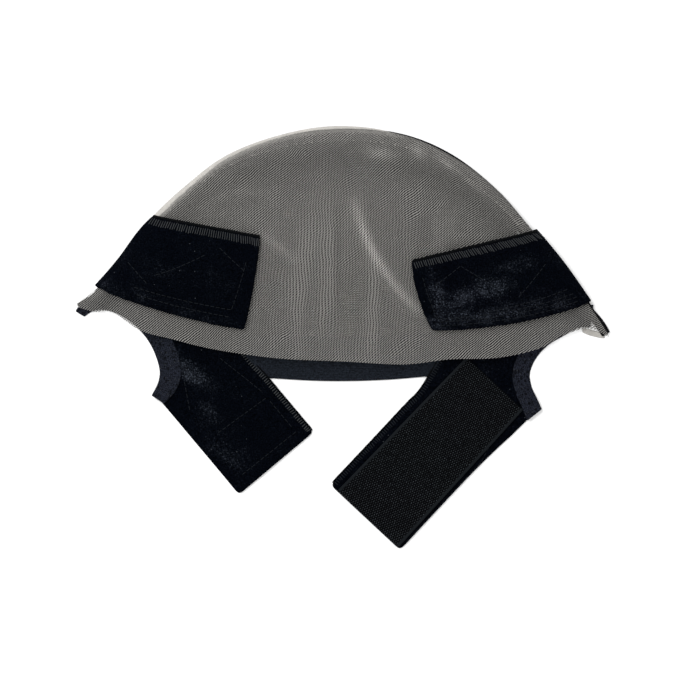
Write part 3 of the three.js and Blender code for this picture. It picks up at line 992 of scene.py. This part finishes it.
# Back net panel
# The back of the cap is a panel of the same fine net as the front. It is sewn to the crown binding, the
# velvet bands and the nape band, and lies on the table in a few shallow wrinkles.
NET_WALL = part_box("back_lace")[1][2] / MM
NET_WALE = 1.76
NET_COURSE = 1.42
NET_THREAD = (0.146, 0.142, 0.135, 1)
# The back net's threads are painted near black and its holes made small: painted shade, where the front
# panel arches over it
BACK_THREAD_IN_SHADE = (0.018, 0.0175, 0.017, 1)
FRONT_HOLE = -0.24
BACK_HOLE = -0.85
PULLED_MIDDLE = (0.0, 0.03, 0.02)
PULLED_REACH = (0.03, 0.095)
DRIFT = 5.0
CORNER = 0.3
BAND_TOP = 0.03


def make_net_group():
    """Net: ribs down the cloth and slanting threads across them, with a hole wherever they run low."""
    group, given, made = new_group("net holes", ["Straight", "Hole"], ["Thread", "Height"])
    place = add_node(group, "ShaderNodeSeparateXYZ", {"Vector": given["Place"]}).outputs
    rib = times(group, place["X"], 2 * math.pi / NET_WALE)
    course = times(group, place["Y"], 2 * math.pi / NET_COURSE)
    upright = plus(group, times(group, given["Straight"], 0.12), 0.17)
    slanting = minus(group, 0.85, times(group, given["Straight"], 0.4))
    height = times(group, arithmetic(group, "COSINE", rib), upright)
    for turn, weight in (("SUBTRACT", slanting), ("ADD", 0.08)):
        wave = arithmetic(group, "COSINE", arithmetic(group, turn, rib, course))
        height = plus(group, height, times(group, wave, weight))
    edge = {"Value": minus(group, height, given["Hole"]), "From Min": -0.1, "From Max": 0.1}
    mask = add_node(group, "ShaderNodeMapRange", edge, interpolation_type="SMOOTHSTEP").outputs["Result"]
    group.links.new(mask, made["Thread"])
    group.links.new(height, made["Height"])
    return group


net_holes = make_net_group()


def add_straightness(tree, woven):
    """How straight the net is pulled at a place, from nought to a little over one."""
    away = vector_sum(tree, "DISTANCE", object_place(tree), PULLED_MIDDLE)["Value"]
    near = {"Value": away, "From Min": PULLED_REACH[1], "From Max": PULLED_REACH[0]}
    middle = add_node(tree, "ShaderNodeMapRange", near).outputs["Result"]
    drawn = vector_sum(tree, "MULTIPLY", woven, (0.09, 0.008, 0))[0]
    bands = clouds(tree, drawn, 1.0, 1.0)["Fac"]
    spread = {"Value": bands, "From Min": 0.38, "From Max": 0.6, "To Min": 0.4, "To Max": 1.25}
    return times(tree, middle, add_node(tree, "ShaderNodeMapRange", spread).outputs["Result"])


def make_net(name, colour, hole):
    """Fine stretch net, dark brown grey, open between its threads, with a painted highlight where they stand
    up and painted shade where they run low.

    In the middle of the cap it is pulled straight, so that its ribs stand out there, in some bands more.
    """
    finish, tree, shader = new_finish(name, 0.75, 0.15)
    place, pale = add_weave(tree)
    drift = vector_sum(tree, "MULTIPLY", clouds(tree, place, 0.05, 2.5)["Color"], (DRIFT, DRIFT, 0))[0]
    pulled = vector_sum(tree, "ADD", place, drift)[0]
    given = {"Place": pulled, "Straight": add_straightness(tree, place), "Hole": hole}
    holes = add_node(tree, "ShaderNodeGroup", given, node_tree=net_holes)
    shade, _ = add_fibres(tree, object_place(tree), 1500.0, 1.2)
    # Painted light: crests coloured lighter and low places darker, and pale adds the painted fold light,
    # crown shade and glints
    crest = plus(tree, times(tree, holes.outputs["Height"], 0.85), 0.9)
    lit = times(tree, plus(tree, pale, 1.0), times(tree, crest, shade))
    tree.links.new(shaded(tree, colour, lit), shader.inputs["Base Color"])
    tree.links.new(bump(tree, holes.outputs["Height"], 0.35), shader.inputs["Normal"])
    tree.links.new(holes.outputs["Thread"], shader.inputs["Alpha"])
    return finish


def back_net_panel():
    above = NAPE_WIDTH - 2 * TUCKED_IN
    left_end = share_at_height(LEFT, NAPE_LEFT * CROWN_HEIGHT + above)
    right_end = share_at_height(RIGHT, NAPE_RIGHT * CROWN_HEIGHT + above)
    start = (LEFT["grip_to"] + 0.15) / LAST
    end = (RIGHT["grip_to"] - 0.15) / LAST

    def down_band(values, end, share):
        return beside(values["inner"], mix(BAND_TOP, end, share / CORNER), -TUCKED_IN, values["side"])

    def lower(share):
        if share < CORNER:
            return down_band(LEFT, left_end, share)
        if share > 1 - CORNER:
            return down_band(RIGHT, right_end, 1 - share)
        return nape_line((share - CORNER) / (1 - 2 * CORNER), above)

    def place(across, down):
        spot = inside_binding(mix(start, end, across)).lerp(lower(across), down)
        held = math.sin(math.pi * across) * math.sin(math.pi * down)
        return flat(spot, NET_WALL / 2 + held * ripple(spot, 16, 3.0)), (spot.x, spot.y, 0)

    net = make_net("back net", BACK_THREAD_IN_SHADE, BACK_HOLE)
    panel = finished("back_net", cloth(100, 60, place), "net", net)
    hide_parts("back_lace")


back_net_panel()

# Crown binding
# The back's upper edge is bound with a narrow black knit tape. It stands up along the crown, where the front
# panel folds over it, and shows as a dark edge there and under both ear tabs.
NET_LAYER = 1
SEAM_GAP = 0.3
TAB_REST = KNIT_WALL + SEAM_GAP + NET_LAYER
TAB_BULGE = 1.9
BULGE_AT = 13.7
BINDING_WEAVE = 11
LOFT = 24
BINDING_KNIT = (0.0045, 0.0050, 0.0060, 1)

# Heights at the crown's fold and at the crest of the front panel, as shares of the loft over the tabs
HEIGHTS = [
    (0.01, 0.04),
    (0.05, 0.2),
    (0.1, 0.38),
    (0.15, 0.56),
    (0.18, 0.72),
    (0.21, 0.88),
    (0.22, 0.97),
    (0.22, 1),
    (0.22, 0.98),
    (0.2, 0.9),
    (0.18, 0.76),
    (0.14, 0.58),
    (0.09, 0.38),
    (0.05, 0.2),
    (0.01, 0.04),
]


def fold_height(section):
    return TAB_REST + between(HEIGHTS, 0, section) * (LOFT - TAB_REST)


def crest_height(section):
    return TAB_REST + between(HEIGHTS, 1, section) * (LOFT - TAB_REST)


def crown_binding():
    length = line_length(even_line([crown_point(step / 300) for step in range(301)]))

    def place(section, across):
        turn = across * math.pi / 2
        inward = crown_inward(section)
        rise = crest_height(section) - fold_height(section)
        top = fold_height(section) - SEAM_GAP - NET_LAYER * math.exp(-rise / (2 * NET_LAYER))
        bulge = TAB_BULGE * math.exp(-(((section * LAST - BULGE_AT) / 0.5) ** 2))
        rolled = max(between(CROWN, 2, section), 0) * SEAM_ROLL - bulge
        spot = crown_point(section) + (rolled + CROWN_BINDING_WIDTH * (1 - math.cos(turn))) * inward
        level = Vector((top * math.cos(turn), CROWN_BINDING_WIDTH * math.sin(turn))).normalized()
        out = Vector((inward.x * level.x, inward.y * level.x, level.y))
        point = flat(spot, top * (1 - math.sin(turn))) + KNIT_WALL * out
        return point, (across * BINDING_WEAVE, section * length, 0)

    knit = make_knit("black binding knit", BINDING_KNIT, 0.9, 0.9)
    binding = finished("crown_tape", cloth(170, 7, place), "knit", knit)
    thicken(binding, KNIT_WALL)
    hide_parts("crown_binding")
    return binding


crown_tape = crown_binding()

# Front net panel
# The front and crown of the cap is one panel of fine stretch net. It is folded over at the crown, arches
# over the back in a few soft folds and ends in a raw cut edge, in front of the hairline.
CREST_AT = 0.45
FOLD_WIDTH = 7
FOLD_RUNS = 12

# The front edge: x and y as shares of half the width and the crown's height, its height as a share of the
# loft over the tabs, and how far the net's seam has rolled in, as a share of the seam's roll
FRONT = [
    (-0.996, 0.146, 0.02, 0),
    (-0.934, 0.125, 0.03, 0.1),
    (-0.865, 0.122, 0.05, 0.1),
    (-0.761, 0.036, 0.12, 1),
    (-0.648, -0.003, 0.2, 0.85),
    (-0.478, -0.055, 0.28, 0.55),
    (-0.239, -0.097, 0.34, 0.25),
    (0, -0.111, 0.35, 0.1),
    (0.226, -0.125, 0.34, 0.14),
    (0.403, -0.101, 0.3, 0.2),
    (0.579, -0.094, 0.26, -0.15),
    (0.736, -0.05, 0.2, -0.1),
    (0.824, 0.011, 0.1, 0.1),
    (0.925, 0.045, 0.04, 0.2),
    (0.997, 0.006, 0.02, 0.45),
]

# Folds from a start by a bend to an end, then the rise as a share of the loft, the width as a share of the
# sharpest fold's, and the painted light along the fold: painted highlight above nought, painted shade below
# it
FOLDS = [
    (0.039, 0.667, 0.09, 0.335, 0.31, 0.092, 0.13, 0.95, 1.0),
    (-0.01, 0.62, -0.02, 0.32, -0.011, 0.06, -0.07, 1.1, -0.12),
    (0.01, 0.66, 0.0, 0.4, 0.01, 0.1, 0, 0.45, 0.16),
    (-0.045, 0.64, -0.05, 0.4, -0.05, 0.1, 0, 0.45, 0.14),
    (0.24, 0.62, 0.2, 0.45, 0.25, 0.29, 0.05, 1.5, -0.06),
    (0.345, 0.62, 0.34, 0.5, 0.35, 0.4, -0.05, 1, 0.1),
    (0.42, 0.62, 0.38, 0.52, 0.43, 0.43, 0.05, 1, 0.1),
    (-0.54, 0.58, -0.42, 0.75, -0.23, 0.65, 0.05, 1.1, 0.12),
    (-0.31, 0.49, -0.24, 0.44, -0.17, 0.35, 0.04, 1, 0.4),
    (-0.45, 0.82, -0.1, 0.62, 0.27, 0.82, -0.03, 1.6, -0.05),
]

# Painted glints in the net, where the crumpled clear tape under it catches the light
NET_GLINTS = [
    (22, 110, 9, 4, -8, 0.7),
    (45, 111, 4.5, 3.5, -50, 0.7),
    (62, 104, 6, 2.2, -40, 0.6),
    (78, 91, 9, 1.2, -38, 0.4),
]


def fold_lines():
    """Each fold as points on its line, with its rise and its width in millimetres, and its painted light."""
    lines = []
    for start_x, start_y, bend_x, bend_y, end_x, end_y, rise, width, pale in FOLDS:
        start = scaled((start_x, start_y))
        bend = scaled((bend_x, bend_y))
        end = scaled((end_x, end_y))
        points = []
        for step in range(FOLD_RUNS + 1):
            share = step / FOLD_RUNS
            points.append(start.lerp(bend, share).lerp(bend.lerp(end, share), share))
        lines.append((points, rise * LOFT, width * FOLD_WIDTH, pale))
    return lines


FOLD_LINES = fold_lines()


def fold_at(spot):
    """How far the folds lift the net at a spot, and the painted highlight and shade they put on it."""
    lift = 0
    shade = 0
    for points, rise, width, pale in FOLD_LINES:
        if (spot - points[FOLD_RUNS // 2]).length > (points[-1] - points[0]).length / 1.7 + 2.5 * width:
            continue
        nearest = 1e9
        taper = 0
        for run in range(FOLD_RUNS):
            start = points[run]
            step = points[run + 1] - start
            share = min(max((spot - start).dot(step) / step.length_squared, 0), 1)
            distance = (spot - start - share * step).length
            if distance < nearest:
                nearest = distance
                taper = math.sqrt(max(math.sin(math.pi * (run + share) / FOLD_RUNS), 0))
        lift += rise * taper * math.exp(-((nearest / width) ** 2))
        shade += pale * taper * math.exp(-((nearest / (0.42 * width)) ** 2))
    return lift, shade


def spot_of(point):
    return Vector((point.x, point.y))


def front_point(section):
    return scaled((between(FRONT, 0, section), between(FRONT, 1, section)))


def panel_run(section):
    """From the crown to the front edge."""
    return front_point(section) - crown_point(section)


def panel_point(section, way):
    """The face of the front panel: up from the crown's fold, over the crest and down to the front edge."""
    spot = crown_point(section).lerp(front_point(section), way)
    crest = crest_height(section)
    if way < CREST_AT:
        height = mix(fold_height(section), crest, math.sqrt(max(1 - (1 - way / CREST_AT) ** 2, 0)))
    else:
        edge = TAB_REST + between(FRONT, 2, section) * (LOFT - TAB_REST)
        fall = (way - CREST_AT) / (1 - CREST_AT)
        height = mix(edge, crest, 0.5 * (1 + math.cos(math.pi * fall)))
    return flat(spot, height + fold_at(spot)[0])


def panel_place(section, way):
    """A place on the front panel with the direction out of it."""
    way = min(max(way, 0), 1)
    step = 1e-4
    point = panel_point(section, way)
    back = -step if section > 0.5 else step
    across = (panel_point(section + back, way) - point) / back
    up = -step if way > 0.5 else step
    down = (panel_point(section, way + up) - point) / up
    return point, down.cross(across).normalized()


def panel_at(spot):
    """The place on the front panel over a spot in plan."""
    low = 0
    high = 1
    for _ in range(26):
        section = (low + high) / 2
        top = crown_point(section)
        run = panel_run(section)
        if run.x * (spot.y - top.y) - run.y * (spot.x - top.x) > 0:
            low = section
        else:
            high = section
    run = panel_run(section)
    return panel_place(section, (spot - crown_point(section)).dot(run) / run.length_squared)


def front_net_panel():
    woven_runs = {}

    def woven_run(section):
        """The length of the net down a section, from its crest, at close steps of the way."""
        if section not in woven_runs:
            points = [panel_point(section, step / 60) for step in range(61)]
            gone = [0]
            for first, second in zip(points, points[1:]):
                gone.append(gone[-1] + (second - first).length)
            crest = gone[round(60 * CREST_AT)]
            woven_runs[section] = [(length - crest,) for length in gone]
        return woven_runs[section]

    def place(across, down):
        run = panel_run(across)
        length = run.length
        start = max(between(FRONT, 3, across), 0) * SEAM_ROLL / length
        way = mix(start, 1, down ** 1.4)
        point, out = panel_place(across, way)
        woven = crown_point(across).lerp(front_point(across), CREST_AT)
        woven += run.normalized() * between(woven_run(across), 0, way)
        soft = 0.5 * noise.noise(Vector((woven.x / 9, woven.y / 9, 3))) * math.sin(math.pi * down)
        inset = way * length
        # pale is painted light: painted shade about 19 mm in from the crown, the net a little paler right at
        # the crown, the folds' painted light, and painted glints
        band = -0.2 * math.exp(-(((inset - 19) / 10) ** 2)) + 0.05 * math.exp(-((inset / 8) ** 2))
        pale = band + fold_at(spot_of(point))[1] + paleness(NET_GLINTS, spot_of(point))
        return point + (soft - NET_LAYER / 2) * out, (woven.x, woven.y, pale)

    net = make_net("front net", NET_THREAD, FRONT_HOLE)
    panel = finished("front_net", cloth(220, 100, place), "net", net)
    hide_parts("front_lace")
    return panel


front_net = front_net_panel()

# Clear tape
# A soft clear elastic tape is sewn into the crown seam under the net. It has rolled out along the upper
# left, where it shows pale beside the net, and its stitches show as light specks near the right edge.
CLEAR_WIDTH = 8
CLEAR_WALL = 0.8
NET_GAP = 0.5
CLEAR_FROM = 2.75
CLEAR_TO = 11.4
MILKY = (0.37, 0.355, 0.33, 1)
SEAM_THREAD = (0.32, 0.31, 0.29, 1)
SEAM_INSET = 8.5
SEAM_STITCHES = 190
SEAM_FROM = 3.4
SEAM_TO = 11
SHOWN_UNTIL = 8.1
CLEAR_THIN = 0.1
CLEAR_FULL = 0.88
TAIL_START = (143.5, 4.6)
TAIL_END = (157, 1)
TAIL_WIDTH = 3.8
TAIL_WALL = 0.6


def make_clear_tape():
    """Clear elastic, milky where it is bare. Under the net it is stretched thin and hardly shows."""
    finish, tree, shader = new_finish("clear elastic tape", 0.35, 0.3)
    _, bare = add_weave(tree)
    milk = plus(tree, times(tree, bare, CLEAR_FULL - CLEAR_THIN), CLEAR_THIN)
    tree.links.new(milk, shader.inputs["Alpha"])
    place = object_place(tree)
    shade, height = add_fibres(tree, place, 260.0, 0.5)
    tree.links.new(shaded(tree, MILKY, shade), shader.inputs["Base Color"])
    tree.links.new(bump(tree, height, 1.2), shader.inputs["Normal"])
    return finish


def shown(section):
    """How much of the clear tape shows outside the net, from nought to one."""
    share = min(max((SHOWN_UNTIL - section * LAST) / 0.6, 0), 1)
    return share * share * (3 - 2 * share)


def clear_elastic():
    length = line_length([crown_point(mix(CLEAR_FROM, CLEAR_TO, step / 60) / LAST) for step in range(61)])

    def place(along, across):
        section = mix(CLEAR_FROM, CLEAR_TO, along) / LAST
        run = panel_run(section).length
        inset = CLEAR_WIDTH * across ** 1.6
        point, out = panel_place(section, inset / run)
        net_inset = max(between(FRONT, 3, section), 0) * SEAM_ROLL
        bare = min(max(1 - (inset - net_inset + 1.5) / 1.5, 0), 1) * shown(section)
        at_rim = -0.75 + 1.5 * math.exp(-(((section * LAST - 6.8) / 0.9) ** 2))
        height = mix(-NET_LAYER - NET_GAP, at_rim, max(bare, shown(section) * math.exp(-inset)))
        milky = min(max(1 - (inset - net_inset - 1) / 1.5, 0), 1) * shown(section)
        return point + height * out, (across * CLEAR_WIDTH, along * length, milky)

    tape = finished("clear_strip", cloth(150, 14, place), "clear_elastic", make_clear_tape())
    thicken(tape, CLEAR_WALL)
    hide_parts("clear_tape")


def seam_stitches():
    """The pale stitches that hold the clear tape. Most lie deep in the net, and more show at the right."""
    random.seed(11)
    mesh = bmesh.new()
    for stitch in range(SEAM_STITCHES):
        section = mix(SEAM_FROM, SEAM_TO, stitch / SEAM_STITCHES) / LAST
        if random.random() > (0.85 if section * LAST > 8.7 else 0.3):
            continue
        run = panel_run(section).length
        start, out = panel_place(section, (SEAM_INSET + random.uniform(-0.5, 0.5)) / run)
        end, _ = panel_place(section + random.uniform(0.3, 0.8) / 360, SEAM_INSET / run)
        size = random.uniform(0.22, 0.42)
        thread(mesh, start - 0.2 * out, end - 0.2 * out, size, size, out)
    finished("seam_stitches", mesh, "clear_elastic", make_sewing_thread("pale seam thread", SEAM_THREAD))


def clear_tail():
    """The loose end of the clear tape, which shows under the net at the right ear tab."""

    def place(along, across):
        spot = Vector(TAIL_START).lerp(Vector(TAIL_END), along)
        half = 0.5 * TAIL_WIDTH * math.sin(math.pi * mix(0.12, 0.9, along)) ** 0.5
        spot.y += half * (2 * across - 1)
        return flat(spot, 0.9 + 0.3 * math.sin(3 * math.pi * along)), (across * TAIL_WIDTH, along * 14, 0.8)

    tail = finished("clear_tail", cloth(16, 6, place), "clear_elastic", make_clear_tape())
    thicken(tail, TAIL_WALL)


clear_elastic()
clear_tail()
seam_stitches()

# Temple patches
# A patch of black velvet is sewn on the net at each temple. Its upper edge is overlocked, its other edges
# are turned under, and zigzag rows of top stitching run over it.
PATCH_REACH = 100
PATCH_RIB = 4.4
PATCH_RIB_PITCH = 1.38
PATCH_ROLL = 2.1
EDGE_WAVE = 0.9
WAVE_LENGTH = 2.2
PATCHES = {
    "left": {
        "side": -1,
        "first": 3.2,
        "last": 0.93,
        "tuck": 2.2,
        "top": (1.11, 0.478),
        "low": (1.008, 0.038),
        "low_bow": -0.028,
        "inner_bow": 0.01,
    },
    "right": {
        "side": 1,
        "first": 11.1,
        "last": 13.1,
        "tuck": 0,
        "top": (1.188, 0.366),
        "low": (1.062, 0.036),
        "low_bow": -0.042,
        "inner_bow": 0.03,
    },
}

# Soft spots of painted sheen on the patches, where the pile is brushed and catches the light
PATCH_SHEEN = {
    "left": [
        (-76, 36, 8, 4, -25, 0.06),
        (-116, 41, 18, 6, -15, 0.03),
        (-105, 20, 38, 3.5, -17, 0.1),
    ],
    "right": [
        (84, 29, 12, 4, 12, 0.75),
        (71, 23, 9, 3.5, 35, 0.5),
        (90, 15, 32, 4, 9, 0.5),
        (57, 24, 4, 12, 15, 0.45),
        (103, 44, 11, 4, 15, 0.12),
        (130, 47, 9, 7, -40, 0.04),
    ],
}

# Rows of top stitching: from and to, across from the outer to the inner edge and down from the upper edge
PATCH_SEAMS = {
    "left": [
        (0.29, 0.6, 0.58, 0.29),
        (0.67, 0.19, 0.91, 0.38),
        (0.07, 0.54, 0.27, 0.72),
        (0.2, 0.8, 0.88, 0.8),
        (0.24, 0.88, 0.88, 0.88),
        (0.91, 0.28, 0.88, 0.8),
    ],
    "right": [
        (0.87, 0.39, 0.65, 0.2),
        (0.65, 0.2, 0.47, 0.54),
        (0.38, 0.7, 0.11, 0.4),
        (0.08, 0.76, 0.6, 0.8),
        (0.06, 0.83, 0.93, 0.83),
        (0.05, 0.88, 0.93, 0.87),
        (0.06, 0.93, 0.93, 0.92),
        (0.93, 0.25, 0.93, 0.83),
    ],
}


def temple_patch(side):
    """One patch with its overlock and its rows of top stitching."""
    values = PATCHES[side]

    def corner(name):
        inset, height = values[name]
        return Vector((values["side"] * (HALF_WIDTH - inset * PATCH_REACH), height * CROWN_HEIGHT))

    top = corner("top")
    low = corner("low")

    def spot(across, down):
        section = mix(values["first"], values["last"], down) / LAST
        outer = crown_point(section) + values["tuck"] * (1 - down) ** 3 * crown_inward(section)
        inner = top.lerp(low, down)
        inner.x -= values["side"] * values["inner_bow"] * PATCH_REACH * 4 * down * (1 - down)
        place = outer.lerp(inner, across)
        place.y += values["low_bow"] * down * PATCH_REACH * 4 * across * (1 - across)
        wave_in = noise.noise(Vector((place.y / WAVE_LENGTH, 1, 7)))
        wave_down = noise.noise(Vector((place.x / WAVE_LENGTH, 2, 7)))
        return place + EDGE_WAVE * Vector((wave_in * across ** 8, wave_down * down ** 8))

    def on_face(across, down, height=0.0):
        point, out = panel_at(spot(across, down))
        return point + (NET_GAP + VELVET_WALL + height) * out

    def normal_at(across, down):
        return panel_at(spot(across, down))[1]

    width = (spot(1, 0.5) - spot(0, 0.5)).length
    height = (spot(0.5, 1) - spot(0.5, 0)).length

    def place(across, down):
        across = across ** 1.3
        held = math.sin(math.pi * across) * math.sin(math.pi * down)
        rise = held * ripple(spot(across, down), 15, 0.8)
        # pale carries the painted sheen of the brushed spots
        pale = paleness(PATCH_SHEEN[side], spot(across, down))
        return on_face(across, down, rise), (across * width, down * height, pale)

    patch = finished(f"patch_{side}", cloth(40, 26, place), "velvet", velvet)
    thicken(patch, VELVET_WALL)

    def from_edge(share, distance):
        return on_face(mix(0.01, 0.99, share), (distance - 0.5) / height, 0.1)

    def edge_normal(share):
        return normal_at(mix(0.01, 0.99, share), 0.05)

    sewn = bmesh.new()
    edge_length = (on_face(1, 0) - on_face(0, 0)).length
    slant = -0.8 * values["side"]
    overlock(sewn, from_edge, edge_normal, edge_length, PATCH_RIB_PITCH, PATCH_RIB, PATCH_ROLL, slant)
    for from_across, from_down, to_across, to_down in PATCH_SEAMS[side]:

        def seam(share):
            return on_face(mix(from_across, to_across, share), mix(from_down, to_down, share), ON_PILE)

        def out(share):
            return normal_at(mix(from_across, to_across, share), mix(from_down, to_down, share))

        stitches(sewn, seam, out, (seam(1) - seam(0)).length)
    threads = finished(f"patch_threads_{side}", sewn, "velvet", sewing_thread, edge_thread, top_thread)
    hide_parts(f"temple_patch_{side}")


temple_patch("left")
temple_patch("right")
